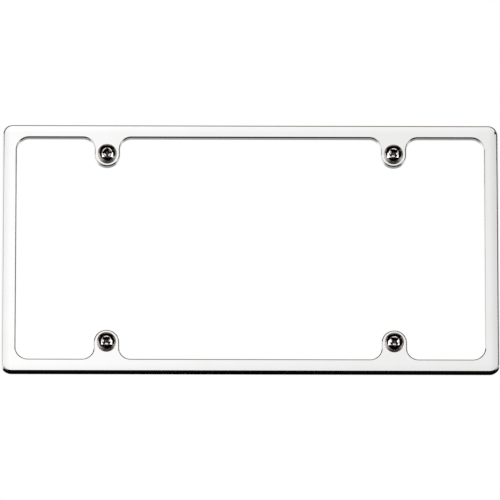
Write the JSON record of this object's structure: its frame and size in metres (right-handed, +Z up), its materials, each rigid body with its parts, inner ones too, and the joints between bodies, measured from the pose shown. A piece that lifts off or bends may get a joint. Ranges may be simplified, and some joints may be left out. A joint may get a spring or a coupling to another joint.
{
  "type": "number plate holder",
  "caption": "Slim chrome frame that goes round a flat number plate, with rounded tabs and pan-head screws that clamp both to a vehicle.",
  "frame": {"origin": "centre of the screw pattern, in the plane of the rim that meets the vehicle", "axes": "+X along the width to the viewer's right, +Z up, and the face looks along -Y, away from the vehicle"},
  "size_m": [0.3084, 0.0226, 0.1596],
  "materials": {
    "frame_chrome": "polished die casting under bright chrome plating",
    "screw_chrome": "polished chrome plated steel, darker in its recess"
  },
  "bodies": {
    "root": {"frame": "frame_chrome", "screws": "screw_chrome"}
  },
  "joints": []
}
